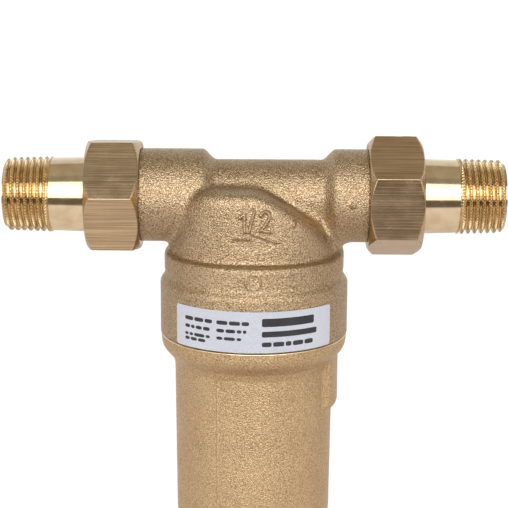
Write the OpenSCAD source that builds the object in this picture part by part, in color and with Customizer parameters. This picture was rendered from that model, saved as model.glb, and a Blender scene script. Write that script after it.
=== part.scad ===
// Fine water filter with a brass bowl: a T-shaped housing hung in a horizontal pipe by two union
// ends, a sieve insert in a screwed-on bowl below it, and a ball valve with a hose tail under the bowl.
// Millimetres. X runs along the pipe from inlet to outlet, Y goes to the back, Z is up.
// The origin lies on the pipe axis at the gauge plane of the inlet thread, where the face of the
// pipe socket comes to rest. Each sub-part is drawn about the bowl axis and moved there at the end.

/* [Pipe ends] */
// Length from one threaded pipe end to the other
overall_length = 140; // [136:1:160]
// Distance between the two port faces of the housing
port_distance = 80; // [78:1:84]
// Outside diameter of the tapered pipe thread on each tailpiece
pipe_thread_d = 20.955; // [20.6:0.005:21]
// Length of the pipe thread
pipe_thread_length = 14.4; // [10:0.1:15]
// Distance from the end of the pipe thread to its gauge plane
gauge_length = 8.2; // [6:0.1:9]
// Clear bore of each tailpiece
tail_bore_d = 15.5; // [12:0.1:17]
// Outside diameter of the parallel thread on each housing port
port_thread_d = 26.441; // [26.2:0.001:26.8]
// Width across flats of each union nut
nut_across_flats = 30; // [29.5:0.1:34]
// Length of each union nut
nut_length = 15.1; // [15:0.1:18]
// How far the front corner of the inlet nut sits above the horizontal, in degrees
inlet_nut_turn = 5.7; // [0:0.1:59]
// How far the front corner of the outlet nut sits above the horizontal, in degrees
outlet_nut_turn = 25.4; // [0:0.1:59]

/* [Housing] */
// Diameter of the hub behind each port
hub_d = 26.2; // [25:0.1:26.3]
// Diameter of the bar that joins the hubs
bar_d = 20.3; // [19:0.1:22]
// Inside diameter of the water ports
port_bore_d = 16; // [14:0.1:16.4]
// Width of the belly along the pipe
belly_width = 48; // [47:0.1:49]
// Depth of the belly from front to back
belly_depth = 42; // [41:0.1:43]
// Thickness of the belly wall
belly_wall = 2.5; // [2:0.1:3]
// Diameter of the upper ring
upper_ring_d = 50.6; // [50.4:0.1:51.4]
// Diameter of the lower ring that takes the bowl thread
lower_ring_d = 53.4; // [53:0.1:55]
// Depth of the housing rim below the pipe axis
rim_depth = 39; // [38.6:0.1:41]

/* [Bowl] */
// Outside diameter of the bowl thread
bowl_thread_d = 47.6; // [47.2:0.1:47.8]
// Diameter of the bowl just under its flange
bowl_d = 45.2; // [44.6:0.1:45.6]
// Diameter of the bowl just above its rounded bottom
bowl_low_d = 44.2; // [43.6:0.1:44.6]
// Inside diameter of the bowl
bowl_bore_d = 40; // [39:0.1:40.2]
// Depth of the lower face of the bowl boss below the pipe axis
boss_depth = 103; // [101:0.5:110]

/* [Sieve] */
// Outside diameter of the sieve cloth
sieve_d = 31.6; // [30:0.1:31.8]
// Depth of the bottom of the sieve cloth below the pipe axis
sieve_depth = 88; // [70:0.5:88]
// Number of ribs in the cage that carries the cloth
cage_ribs = 8; // [6:2:12]
// Number of rows of windows in the cage
cage_rows = 5; // [3:1:7]

/* [Drain valve] */
// Outside diameter of the parallel threads at both ends of the valve
drain_thread_d = 16.66; // [16.4:0.01:16.8]
// Diameter of the ball
ball_d = 14.4; // [14:0.1:14.8]
// Clear bore of ball, seats and hose tail
drain_bore_d = 8.6; // [6:0.1:8.8]
// Diameter of the valve stem
stem_d = 6; // [5.6:0.1:6]
// Length of the lever from the stem axis to the centre of its round end
lever_reach = 34; // [25:1:45]
// Diameter over the barbs of the hose tail
barb_d = 14; // [13:0.1:15]
// Depth of the end of the hose tail below the pipe axis
tail_depth = 158; // [157:0.5:166]

/* [Hidden] */

$fn = 96;
e = 1;              // how far a cutter runs past the face it opens
gap = 0.05;         // play between faces that touch

port_x = port_distance / 2;
end_x = overall_length / 2;
bowl_axis_x = end_x - gauge_length;

// Hubs: the inlet hub is the long one
inlet_hub_x = 14.4;
outlet_hub_x = 22.6;
hub_slope = 3;
port_thread_length = 7.8;

// Belly outline in the X-Z plane: flat on top, falling at 30 degrees towards the outlet
belly_top = 3.9;
belly_foot = -16.4;
belly_corner_x = -14.2;
belly_shoulder_x = -19.5;
belly_shoulder_drop = 3;
belly_side_drop = 8.5;
belly_flat_x = 1.5;
belly_fall = 30;
belly_fall_x = 16.5;
belly_knee_x = 22;
belly_knee_drop = 4.5;
side_r = belly_depth / 2;

// Rings
ring_top = -15.7;
ring_bevel_top = -22;
ring_bevel_foot = -24.2;
thread_bore_r = bowl_thread_d / 2 + gap;
thread_bore_top = -25.5;

// Neck that leads the filtered water up into the outlet bore
neck_r = 9.9;
neck_bore_r = 7;
neck_shoulder = -17;
neck_foot = -23;
spigot_r = 8.8;
inlet_bore_end = -13;

// Union: distances are measured outwards from the port face
gasket_t = 2;
flange_t = 3;
flange_r = 11.9;
nut_mouth = -8.2;
nut_chamfer = 2;
nut_wall = gasket_t + flange_t + 0.3;
tail_root_r = 10.5;
tail_neck_r = 10.2;
tail_chamfer = 1;

// Bowl
spigot_top = -28;
bowl_flange = -rim_depth - 0.1;
bowl_flange_r = 26.5;
flange_bend = 6.5;
under_bend = 1.6;
bowl_shoulder = -48;
bowl_low = -88.5;
bowl_floor = -95;
boss_r = 10.8;
bowl_seal_r = 1;
bowl_seal_z = spigot_top - 3;
lug_r = 24.2;
lug_low = -60;
lug_half_angle = 28;

// Sieve insert
seal_t = 1.4;
collar_top = neck_shoulder - gap - seal_t - gap;
collar_plate = -24;
collar_seat = spigot_top + gap;
collar_r = sieve_d / 2 + 1.1;
cloth_t = 0.4;
cage_t = 1.1;

// Drain valve
ball_z = -boss_depth - 15;
ball_r = ball_d / 2;
bore_r = drain_bore_d / 2;
cavity_r = 8;
body_top = -boss_depth - 1.5;
body_hex_foot = body_top - 5.5;
barrel_r = 11.5;
barrel_foot = ball_z - 14;
seat_outer = 8.25;
seat_inner = 4.4;
stem_r = stem_d / 2;
boss_face = 15;
collar_face = 9.4;
chamber_face = 11.5;
hex_face = 18;
lever_face = 19.6;
lever_t = 5;
square = 4.2;
screw_r = 1.5;
tail_hex_top = barrel_foot - 1;
tail_hex_foot = tail_hex_top - 4;
barbs = 4;

brass_cast = "#be9b6e";
brass_turned = "#c9a45c";
brass_drawn = "#a58a4e";
steel = "#b8bcc0";
white_plastic = "#e4e2da";
seal_black = "#26262a";
seal_white = "#ecebe6";
lever_black = "#2b2c30";
label_silver = "#c9ccd8";

// Points on an arc in the plane, from angle a0 to angle a1
function arc(cx, cy, r, a0, a1, n = 8) =
  [for (i = [0 : n]) let (a = a0 + (a1 - a0) * i / n) [cx + r * cos(a), cy + r * sin(a)]];

// Moves a shape drawn about the bowl axis to its place in the pipe
module in_place() translate([bowl_axis_x, 0, 0]) children();

// Turns a shape drawn along +Z so that it runs along +X
module along_x() rotate([0, 90, 0]) children();

// Turns a shape drawn along +Z so that it runs to the front, along -Y
module to_front() rotate([90, 0, 0]) children();

// A pierced disc or tube from z0 up to z1
module ring(r_out, r_in, z0, z1) {
  difference() {
    translate([0, 0, z0]) cylinder(r = r_out, h = z1 - z0);
    translate([0, 0, z0 - e]) cylinder(r = r_in, h = z1 - z0 + 2 * e);
  }
}

// Hexagon bar along +Z with both ends chamfered; one corner points along +Y
module hex_bar(af, z0, z1, chamfer) {
  corner = af / sqrt(3);
  low = af / 2 - 0.2;
  intersection() {
    translate([0, 0, z0]) rotate([0, 0, 30]) cylinder(r = corner, h = z1 - z0, $fn = 6);
    rotate_extrude() polygon([
      [0, z0], [low, z0], [corner + 0.2, z0 + chamfer],
      [corner + 0.2, z1 - chamfer], [low, z1], [0, z1]
    ]);
  }
}

// ---- Housing ----

// Solid of revolution along the pipe: port threads, hubs and the bar between them
module pipe_run() {
  thread_r = port_thread_d / 2;
  hub_r = hub_d / 2;
  bar_r = bar_d / 2;
  thread_x = port_x - port_thread_length;
  along_x() rotate_extrude() polygon([
    [0, -port_x], [thread_r - 1, -port_x], [thread_r, 1 - port_x], [thread_r, -thread_x],
    [hub_r, -thread_x], [hub_r, -inlet_hub_x], [bar_r, hub_slope - inlet_hub_x],
    [bar_r, outlet_hub_x - hub_slope], [hub_r, outlet_hub_x], [hub_r, thread_x],
    [thread_r, thread_x], [thread_r, port_x - 1], [thread_r - 1, port_x], [0, port_x]
  ]);
}

// Belly round the filter chamber, drawn in by the given amount on every outer face
module belly(inset) {
  half = belly_width / 2 - inset;
  r = side_r - inset;
  top = belly_top - inset;
  fall_z = top - (belly_fall_x - belly_flat_x) * tan(belly_fall);
  intersection() {
    translate([0, 0, belly_foot - e]) linear_extrude(height = 30) union() {
      for (s = [-1, 1]) translate([s * (half - r), 0]) circle(r = r);
      square([2 * (half - r), 2 * r], center = true);
    }
    rotate([90, 0, 0]) translate([0, 0, -side_r - e]) linear_extrude(height = 2 * (side_r + e))
      polygon([
        [-half - e, belly_foot], [-half - e, top - belly_side_drop],
        [belly_shoulder_x + inset, top - belly_shoulder_drop],
        [belly_corner_x + inset, top], [belly_flat_x, top], [belly_fall_x, fall_z],
        [belly_knee_x - inset, fall_z - belly_knee_drop],
        [half + e, fall_z - 2 * belly_knee_drop], [half + e, belly_foot]
      ]);
  }
}

// Upper ring, bevel and lower ring
module rings() {
  up_r = upper_ring_d / 2;
  low_r = lower_ring_d / 2;
  rotate_extrude() polygon([
    [0, ring_top], [up_r - 0.8, ring_top], [up_r, ring_top - 0.8], [up_r, ring_bevel_top],
    [low_r, ring_bevel_foot], [low_r, -rim_depth], [0, -rim_depth]
  ]);
}

// Webs that run from the underside of the hubs out to the edge of the upper ring
module hub_webs() {
  intersection() {
    translate([0, 0, ring_top - e]) cylinder(r = upper_ring_d / 2 - 0.8, h = 8);
    translate([-overall_length / 2, -8, ring_top - e]) cube([overall_length, 16, 8]);
  }
}

// Room for the raw water, the bowl thread and the top of the sieve
module chamber() {
  belly(belly_wall);
  translate([0, 0, thread_bore_top]) cylinder(r = side_r - belly_wall, h = 10);
  translate([0, 0, -rim_depth - e]) cylinder(r = thread_bore_r, h = rim_depth + thread_bore_top + e);
}

module housing() {
  color(brass_cast) in_place() difference() {
    union() {
      difference() {
        union() {
          pipe_run();
          belly(0);
          rings();
          hub_webs();
        }
        chamber();
      }
      // closed duct from the neck to the outlet
      along_x() cylinder(r = bar_d / 2, h = outlet_hub_x);
      translate([0, 0, neck_shoulder]) cylinder(r = neck_r, h = -neck_shoulder);
      translate([0, 0, neck_foot]) cylinder(r = spigot_r, h = -neck_foot);
    }
    translate([-port_x - e, 0, 0]) along_x()
      cylinder(r = port_bore_d / 2, h = port_x + e + inlet_bore_end);
    translate([-neck_bore_r, 0, 0]) along_x()
      cylinder(r = port_bore_d / 2, h = port_x + e + neck_bore_r);
    translate([0, 0, neck_foot - e]) cylinder(r = neck_bore_r, h = e - neck_foot);
  }
}

// Rating plate: a thin sticker round the front of the lower ring
module label() {
  half_angle = 52;
  label_t = 0.14;
  label_h = 11.4;
  label_foot = 0.4 - rim_depth;
  r = lower_ring_d / 2 + 0.02;
  color(label_silver) in_place() rotate([0, 0, 270 - half_angle]) rotate_extrude(angle = 2 * half_angle)
    translate([r, label_foot]) square([label_t, label_h]);
}

// ---- Union ends, drawn for the outlet with the port face at z = 0 and the pipe along +Z ----

module union_gasket() color(seal_black) ring(12, port_bore_d / 2 + 0.2, gap, gasket_t - gap);

module union_tailpiece() {
  length = end_x - port_x;
  thread_from = length - pipe_thread_length;
  r = pipe_thread_d / 2;
  color(brass_turned) difference() {
    rotate_extrude() polygon([
      [0, gasket_t], [flange_r, gasket_t], [flange_r, gasket_t + flange_t],
      [tail_root_r, gasket_t + flange_t], [tail_root_r, nut_wall + 2.6], [tail_neck_r, thread_from],
      [r, thread_from], [r, length - tail_chamfer], [r - tail_chamfer, length], [0, length]
    ]);
    translate([0, 0, gasket_t - e]) cylinder(d = tail_bore_d, h = length);
  }
}

module union_nut(turn) {
  color(brass_drawn) difference() {
    rotate([0, 0, -turn]) hex_bar(nut_across_flats, nut_mouth, nut_mouth + nut_length, nut_chamfer);
    translate([0, 0, nut_mouth - e]) cylinder(r = port_thread_d / 2 + 0.1, h = nut_wall - nut_mouth + e);
    translate([0, 0, nut_mouth]) cylinder(r = tail_root_r + 0.3, h = nut_length + e);
  }
}

module outlet_end() in_place() translate([port_x, 0, 0]) along_x() children();

module inlet_end() in_place() mirror([1, 0, 0]) translate([port_x, 0, 0]) along_x() children();

module outlet_gasket() outlet_end() union_gasket();
module outlet_tailpiece() outlet_end() union_tailpiece();
module outlet_union_nut() outlet_end() union_nut(outlet_nut_turn);
module inlet_gasket() inlet_end() union_gasket();
module inlet_tailpiece() inlet_end() union_tailpiece();
module inlet_union_nut() inlet_end() union_nut(inlet_nut_turn);

// ---- Sieve insert ----

module sieve_seal() {
  color(seal_black) in_place()
    ring(neck_r + 0.5, spigot_r + 0.1, neck_shoulder - gap - seal_t, neck_shoulder - gap);
}

// Collar that slips over the neck, holds the cloth and hangs on the rim of the bowl by tabs
module sieve_top_collar() {
  tabs = 6;
  tab_r = 22;
  color(white_plastic) in_place() difference() {
    union() {
      translate([0, 0, collar_plate]) cylinder(r = 12, h = collar_top - collar_plate);
      translate([0, 0, collar_plate - 6]) cylinder(r = collar_r, h = 6);
      for (i = [0 : tabs - 1]) rotate([0, 0, i * 360 / tabs])
        translate([12, -2.5, collar_seat]) cube([tab_r - 12, 5, 2]);
    }
    translate([0, 0, collar_plate - e - 6]) cylinder(r = spigot_r + 0.1, h = 20);
    translate([0, 0, collar_plate - e - 6]) cylinder(r = sieve_d / 2 + gap, h = 4 + e);
  }
}

// Slotted tube inside the cloth
module sieve_support_cage() {
  top = collar_plate - 2 - gap;
  foot = -sieve_depth;
  r = sieve_d / 2 - cloth_t - gap;
  pitch = (top - foot) / cage_rows;
  rib = 2.4;
  color(white_plastic) in_place() difference() {
    ring(r, r - cage_t, foot, top);
    for (row = [0 : cage_rows - 1]) translate([0, 0, foot + (row + 0.5) * pitch])
      for (i = [0 : cage_ribs / 2 - 1]) rotate([0, 0, i * 360 / cage_ribs])
        cube([2 * (r + e), 2 * r * sin(180 / cage_ribs) - rib, pitch - rib], center = true);
  }
}

module sieve_mesh() {
  color(steel) in_place()
    ring(sieve_d / 2, sieve_d / 2 - cloth_t, -sieve_depth, collar_plate - 2 - gap);
}

// Cup that closes the lower end of the cloth
module sieve_bottom_cap() {
  color(white_plastic) in_place() difference() {
    rotate_extrude() polygon([
      [0, -sieve_depth + 3.5], [collar_r, -sieve_depth + 3.5], [collar_r, -sieve_depth - 1],
      [collar_r - 1, -sieve_depth - 2], [0, -sieve_depth - 2]
    ]);
    translate([0, 0, -sieve_depth - gap]) cylinder(r = sieve_d / 2 + gap, h = 5);
  }
}

// ---- Bowl ----

module bowl() {
  thread_r = bowl_thread_d / 2;
  r = bowl_d / 2;
  low_r = bowl_low_d / 2;
  inner = bowl_bore_d / 2;
  bend = 9;
  color(brass_cast) in_place() difference() {
    union() {
      rotate_extrude() polygon(concat(
        [[0, spigot_top], [thread_r - 0.6, spigot_top], [thread_r, spigot_top - 0.6],
         [thread_r, bowl_flange], [bowl_flange_r, bowl_flange]],
        arc(bowl_flange_r - flange_bend, bowl_flange - 1.2, flange_bend, 0, -50, 6),
        arc(r + under_bend, bowl_shoulder, under_bend, 130, 180, 4),
        arc(low_r - bend, bowl_low, bend, 0, -84),
        arc(boss_r + 1.2, -boss_depth + 2.8, 1.2, 100, 180, 5),
        [[boss_r, -boss_depth], [0, -boss_depth]]
      ));
      lug();
    }
    rotate_extrude() polygon(concat(
      [[0, spigot_top + e], [inner, spigot_top + e]],
      arc(inner - 7, bowl_floor + 7, 7, 0, -90),
      [[0, bowl_floor]]
    ));
    // outlet hole, valve thread and seal groove
    translate([0, 0, -boss_depth]) cylinder(r = bore_r + 2, h = 10);
    translate([0, 0, -boss_depth - e]) cylinder(r = drain_thread_d / 2 + gap, h = 6 + e);
    ring(thread_r + e, thread_r - 2.1, bowl_seal_z - 1.2, bowl_seal_z + 1.2);
  }
}

// Boss on the outlet side of the bowl, under the flange
module lug() {
  low = lug_low;
  intersection() {
    rotate_extrude() polygon(concat(
      [[bowl_bore_d / 2 + 1, bowl_flange - 3], [lug_r, bowl_flange - 3]],
      arc(lug_r - 2.2, low, 2.2, 0, -70, 6),
      [[bowl_bore_d / 2 + 1, low - 3]]
    ));
    translate([0, 0, low - 5]) linear_extrude(height = 25)
      polygon([
        [0, 0], [40 * cos(lug_half_angle), -40 * sin(lug_half_angle)],
        [40 * cos(lug_half_angle), 40 * sin(lug_half_angle)]
      ]);
  }
}

module bowl_seal() {
  color(seal_black) in_place() rotate_extrude()
    translate([bowl_thread_d / 2 - 2.1 + gap + bowl_seal_r, bowl_seal_z]) circle(r = bowl_seal_r);
}

// ---- Drain valve ----

module drain_body_seal() {
  color(seal_white) in_place()
    ring(boss_r, drain_thread_d / 2 + 0.2, body_top + gap, -boss_depth - gap);
}

module drain_valve_body() {
  color(brass_turned) in_place() difference() {
    union() {
      translate([0, 0, body_top - e]) cylinder(d = drain_thread_d, h = 6.5 + e);
      hex_bar(24, body_hex_foot, body_top, 1);
      translate([0, 0, barrel_foot]) cylinder(r = barrel_r, h = body_hex_foot - barrel_foot + e);
      translate([0, 0, ball_z]) to_front() cylinder(r = 7.5, h = boss_face);
    }
    translate([0, 0, ball_z]) cylinder(r = bore_r, h = 40);
    translate([0, 0, ball_z - seat_outer]) cylinder(r = cavity_r, h = 2 * seat_outer);
    translate([0, 0, barrel_foot - e]) cylinder(r = drain_thread_d / 2 + gap, h = 14 - seat_outer + e);
    translate([0, 0, ball_z]) to_front() {
      cylinder(r = stem_r + gap, h = boss_face + e);
      cylinder(r = stem_r + 1, h = collar_face + gap);
      translate([0, 0, chamber_face]) cylinder(r = 4.6, h = boss_face);
    }
  }
}

// Ring above the ball, hollowed to the ball
module seat() {
  color(seal_white) difference() {
    ring(cavity_r - 0.1, bore_r + 0.2, seat_inner, seat_outer - gap);
    sphere(r = ball_r + gap);
  }
}

module drain_seat_upper() in_place() translate([0, 0, ball_z]) seat();
module drain_seat_lower() in_place() translate([0, 0, ball_z]) mirror([0, 0, 1]) seat();

module drain_stem_packing() {
  color(seal_white) in_place() translate([0, 0, ball_z]) to_front()
    ring(4.55, stem_r + gap, chamber_face + gap, chamber_face + 1.9);
}

module drain_packing_nut() {
  color(brass_drawn) in_place() translate([0, 0, ball_z]) to_front() difference() {
    union() {
      translate([0, 0, chamber_face + 2]) cylinder(r = 4.55, h = 3);
      hex_bar(12, boss_face + gap, hex_face, 0.6);
    }
    cylinder(r = stem_r + 0.1, h = hex_face + e);
  }
}

// Ball with its bore along the pipe while the drain is shut, and a slot for the stem
module drain_ball() {
  color(steel) in_place() translate([0, 0, ball_z]) difference() {
    sphere(r = ball_r);
    translate([-ball_r - e, 0, 0]) along_x() cylinder(r = bore_r, h = 2 * (ball_r + e));
    translate([-ball_r, -ball_r - e, -1.5]) cube([2 * ball_r, e + 1.6, 3]);
  }
}

module drain_stem() {
  tang = 5.7;
  square_from = lever_face - gap;
  color(brass_turned) in_place() translate([0, 0, ball_z]) difference() {
    union() {
      to_front() translate([0, 0, 8]) cylinder(r = stem_r, h = square_from - 8);
      to_front() translate([0, 0, 8]) cylinder(r = stem_r + 0.9, h = collar_face - 8);
      translate([-2.6, -9, -1.4]) cube([5.2, 9 - tang, 2.8]);
      translate([-square / 2, -lever_face - 3.6, -square / 2]) cube([square, 4, square]);
    }
    to_front() translate([0, 0, lever_face - 2]) cylinder(r = screw_r + gap, h = 10);
  }
}

// Lever: square to the tail while shut, in line with it while open
module drain_handle() {
  hub_r = 8;
  tip_r = 5;
  hub_half = hub_r - 1.4;
  tip_half = tip_r - 0.5;
  color(lever_black) in_place() translate([0, 0, ball_z]) difference() {
    to_front() translate([0, 0, lever_face]) union() {
      cylinder(r = hub_r, h = lever_t);
      translate([lever_reach, 0, 0]) cylinder(r = tip_r, h = lever_t);
      linear_extrude(height = lever_t) polygon([
        [0, -hub_half], [lever_reach, -tip_half], [lever_reach, tip_half], [0, hub_half]
      ]);
    }
    translate([-square / 2 - gap, -lever_face - 3.7, -square / 2 - gap])
      cube([square + 2 * gap, 4, square + 2 * gap]);
    to_front() cylinder(r = screw_r + 0.2, h = lever_face + lever_t + e);
  }
}

module drain_handle_screw() {
  head = lever_face + lever_t + gap;
  color(steel) in_place() translate([0, 0, ball_z]) to_front() difference() {
    union() {
      translate([0, 0, lever_face - 1.5]) cylinder(r = screw_r, h = lever_t + 2);
      rotate_extrude() polygon([[0, head], [3, head], [3, head + 1], [2.2, head + 1.8], [0, head + 1.8]]);
    }
    translate([-4, -0.4, head + 0.9]) cube([8, 0.8, 2]);
  }
}

module hose_tail_seal() {
  color(seal_white) in_place()
    ring(boss_r, drain_thread_d / 2 + 0.2, tail_hex_top + gap, barrel_foot - gap);
}

module hose_tail() {
  barb_r = barb_d / 2;
  root_r = barb_r - 0.9;
  pitch = (tail_depth + tail_hex_foot - 2) / barbs;
  land = 1;
  color(brass_turned) in_place() difference() {
    union() {
      translate([0, 0, tail_hex_top - e])
        cylinder(d = drain_thread_d, h = ball_z - seat_outer - gap - tail_hex_top + e);
      hex_bar(22, tail_hex_foot, tail_hex_top, 1);
      translate([0, 0, -tail_depth]) cylinder(r = root_r, h = tail_depth + tail_hex_foot + e);
      for (i = [0 : barbs - 1]) translate([0, 0, -tail_depth + i * pitch]) rotate_extrude()
        polygon([
          [0, 0], [root_r, 0], [barb_r, pitch - land - 0.6], [barb_r, pitch - 0.6],
          [root_r, pitch - 0.6], [0, pitch - 0.6]
        ]);
    }
    translate([0, 0, -tail_depth - e]) cylinder(r = bore_r, h = 60);
  }
}

housing();
label();
inlet_gasket();
inlet_tailpiece();
inlet_union_nut();
outlet_gasket();
outlet_tailpiece();
outlet_union_nut();
sieve_seal();
sieve_top_collar();
sieve_support_cage();
sieve_mesh();
sieve_bottom_cap();
bowl();
bowl_seal();
drain_body_seal();
drain_valve_body();
drain_seat_upper();
drain_seat_lower();
drain_stem_packing();
drain_packing_nut();
hose_tail_seal();
hose_tail();
drain_ball();
drain_stem();
drain_handle();
drain_handle_screw();
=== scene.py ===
"""Brass fine water filter: finished meshes, materials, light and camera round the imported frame."""
import math

import bpy
import numpy as np
from mathutils import Matrix, Vector


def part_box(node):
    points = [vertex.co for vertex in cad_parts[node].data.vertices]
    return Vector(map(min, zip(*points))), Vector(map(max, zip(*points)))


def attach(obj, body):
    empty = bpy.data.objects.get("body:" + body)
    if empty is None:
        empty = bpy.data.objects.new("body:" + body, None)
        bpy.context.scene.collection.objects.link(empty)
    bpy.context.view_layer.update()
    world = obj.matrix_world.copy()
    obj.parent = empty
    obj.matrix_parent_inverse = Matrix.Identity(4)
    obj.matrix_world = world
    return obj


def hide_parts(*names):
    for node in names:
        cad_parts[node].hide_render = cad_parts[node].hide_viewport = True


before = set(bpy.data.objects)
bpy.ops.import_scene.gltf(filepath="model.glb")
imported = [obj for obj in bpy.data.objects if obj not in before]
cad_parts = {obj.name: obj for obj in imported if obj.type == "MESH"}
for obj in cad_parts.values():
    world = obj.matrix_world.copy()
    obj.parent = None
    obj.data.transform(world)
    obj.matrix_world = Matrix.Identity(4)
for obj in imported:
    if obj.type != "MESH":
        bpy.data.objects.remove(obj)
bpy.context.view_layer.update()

MM = 0.001
PI = math.pi

# ---- Sizes, in millimetres, about the bowl axis (the frame's origin is at the inlet) ----


def box_mm(node):
    lo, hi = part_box(node)
    return np.array(lo) / MM, np.array(hi) / MM


housing_lo, housing_hi = box_mm("housing")
AXIS_X = (housing_lo[0] + housing_hi[0]) / 2
PORT_X = (housing_hi[0] - housing_lo[0]) / 2
RIM_Z = housing_lo[2]
RING_R = -housing_lo[1]
END_X = box_mm("outlet_tailpiece")[1][0] - AXIS_X

# housing casting, as in the CAD source
HUB_R, BAR_R = 13.1, 10.15
INLET_HUB_X, OUTLET_HUB_X, HUB_SLOPE = 14.4, 22.6, 3.0
STUB_X, STUB_R = 32.2, 12.1
WEB_HALF_X, WEB_HALF_Y, WEB_TOP = 23.4, 7.5, -9
BELLY_HALF, BELLY_R, BELLY_TOP = 24.0, 21.0, 3.9
BELLY_WALL = 2.5
UPPER_R = 25.3
RING_TOP, BEVEL_TOP, BEVEL_FOOT = -15.7, -22.0, -24.2
PORT_BORE_R, NECK_BORE_R, NECK_R, SPIGOT_R = 8.0, 7.0, 9.9, 8.8
NECK_SHOULDER, NECK_FOOT, INLET_BORE_END = -17.0, -23.0, -13.0
THREAD_BORE_R, THREAD_BORE_TOP = 23.85, -25.5

# threads: pitch, and depth of a 55 degree pipe thread of that pitch
PIPE_PITCH = 25.4 / 14
PIPE_DEPTH = 0.6403 * PIPE_PITCH
BOWL_DEPTH = 1.1
PIPE_THREAD = (PIPE_DEPTH, PIPE_PITCH, "x")
BOWL_THREAD = (BOWL_DEPTH, 2.0, "z")

VOXEL = 0.5

# ---- Mesh helpers ----


def add_object(name, data):
    obj = bpy.data.objects.new(name, data)
    bpy.context.scene.collection.objects.link(obj)
    return obj


def add_mesh(name, verts, faces, body, slot, materials, face_materials=None, replaces=()):
    """Makes a smooth-shaded piece from millimetre points and equal-sized faces, and rides it."""
    faces = np.asarray(faces, np.int32)
    count, corners = faces.shape
    mesh = bpy.data.meshes.new(name)
    mesh.vertices.add(len(verts))
    placed = (np.asarray(verts, np.float64) + [AXIS_X, 0, 0]) * MM
    mesh.vertices.foreach_set("co", placed.astype(np.float32).ravel())
    mesh.loops.add(count * corners)
    mesh.loops.foreach_set("vertex_index", faces.ravel())
    mesh.polygons.add(count)
    mesh.polygons.foreach_set("loop_start", np.arange(0, count * corners, corners, dtype=np.int32))
    for material in materials:
        mesh.materials.append(material)
    if face_materials is not None:
        mesh.polygons.foreach_set("material_index", np.asarray(face_materials, np.int32))
    mesh.polygons.foreach_set("use_smooth", np.ones(count, bool))
    mesh.update(calc_edges=True)
    mesh.validate()
    obj = add_object(name, mesh)
    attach(obj, body)
    if replaces:
        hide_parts(*replaces)
    return obj


def grid_faces(rows, cols, wrap_rows=True, wrap_cols=True):
    """Quads of a grid of points numbered row by row."""
    r = np.arange(rows if wrap_rows else rows - 1)
    c = np.arange(cols if wrap_cols else cols - 1)
    r0, c0 = np.meshgrid(r, c, indexing="ij")
    r1, c1 = (r0 + 1) % rows, (c0 + 1) % cols
    quads = [r0 * cols + c0, r0 * cols + c1, r1 * cols + c1, r1 * cols + c0]
    return np.stack(quads, -1).reshape(-1, 4)


def open_grid(rows, cols):
    return grid_faces(rows, cols, False, False)


def sharpen(obj, degrees):
    """Keeps edges sharper than the given angle crisp."""
    obj.data.set_sharp_from_angle(angle=math.radians(degrees))


def smooth_step(x, a, b):
    t = np.clip((x - a) / (b - a), 0, 1)
    return t * t * (3 - 2 * t)


def smooth_min(a, b, k):
    h = np.clip(0.5 + 0.5 * (b - a) / k, 0, 1)
    return b + (a - b) * h - k * h * (1 - h)


def smooth_max(a, b, k):
    return -smooth_min(-a, -b, k)


CUBE_CORNERS = [(a, b, c) for a in (0, 1) for b in (0, 1) for c in (0, 1)]
NOISE_CELLS, NOISE_SHIFT = 32, 500.0


def value_noise(p, cell, seed):
    """Smooth noise from -1 to 1 with features of the given size, the same on every run."""
    lattice = np.random.default_rng(seed).uniform(-1, 1, (NOISE_CELLS,) * 3)
    q = p / cell + NOISE_SHIFT
    i = np.floor(q).astype(int)
    t = q - i
    t = t * t * (3 - 2 * t)
    total = 0.0
    for corner in CUBE_CORNERS:
        w = 1.0
        for k, far in enumerate(corner):
            w = w * (t[:, k] if far else 1 - t[:, k])
        total = total + w * lattice[tuple(((i + corner) % NOISE_CELLS).T)]
    return total


# height, size of feature and seed of each layer of the as-cast surface
RELIEF_LAYERS = [(0.02, 4.5, 11), (0.02, 1.6, 12), (0.015, 0.9, 13)]


def cast_relief(p):
    """Height of the as-cast surface over its ideal shape, in millimetres."""
    return sum(height * value_noise(p, cell, seed) for height, cell, seed in RELIEF_LAYERS)


# ---- Housing: a signed distance field, meshed by surface nets ----


def from_segment(x, z, a, b):
    """Offset of each point from the nearest point of the segment a to b."""
    (ax, az), (bx, bz) = a, b
    ex, ez = bx - ax, bz - az
    wx, wz = x - ax, z - az
    t = np.clip((wx * ex + wz * ez) / (ex * ex + ez * ez), 0, 1)
    return wx - t * ex, wz - t * ez


def polygon_distance(x, z, points):
    """Signed distance to a closed polygon, negative inside."""
    d = np.full(x.shape, 1e9)
    sign = np.ones(x.shape)
    for (ax, az), (bx, bz) in zip(points, points[-1:] + points[:-1]):
        dx, dz = from_segment(x, z, (ax, az), (bx, bz))
        d = np.minimum(d, dx ** 2 + dz ** 2)
        crosses = (z >= az) != (z < bz)
        side = (bx - ax) * (z - az) > (bz - az) * (x - ax)
        sign = np.where((~crosses) & (side == (bz > az)), -sign, sign)
    return sign * np.sqrt(d)


def stroke_distance(x, z, points, half_width):
    """Distance to a polyline drawn with a round pen."""
    d = np.full(x.shape, 1e9)
    for a, b in zip(points[:-1], points[1:]):
        d = np.minimum(d, np.hypot(*from_segment(x, z, a, b)))
    return d - half_width


# planes that cut the belly's roof: x, height from its top, tilt, and 1 if it moves in with the wall
BELLY_PLANES = [(1.5, 0, 30, 0), (16.5, -8.66, 39, 0), (-14.2, 0, -29.5, 1), (-19.5, -3, -45, 1)]
BELLY_ROUNDING = 4.2


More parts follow.
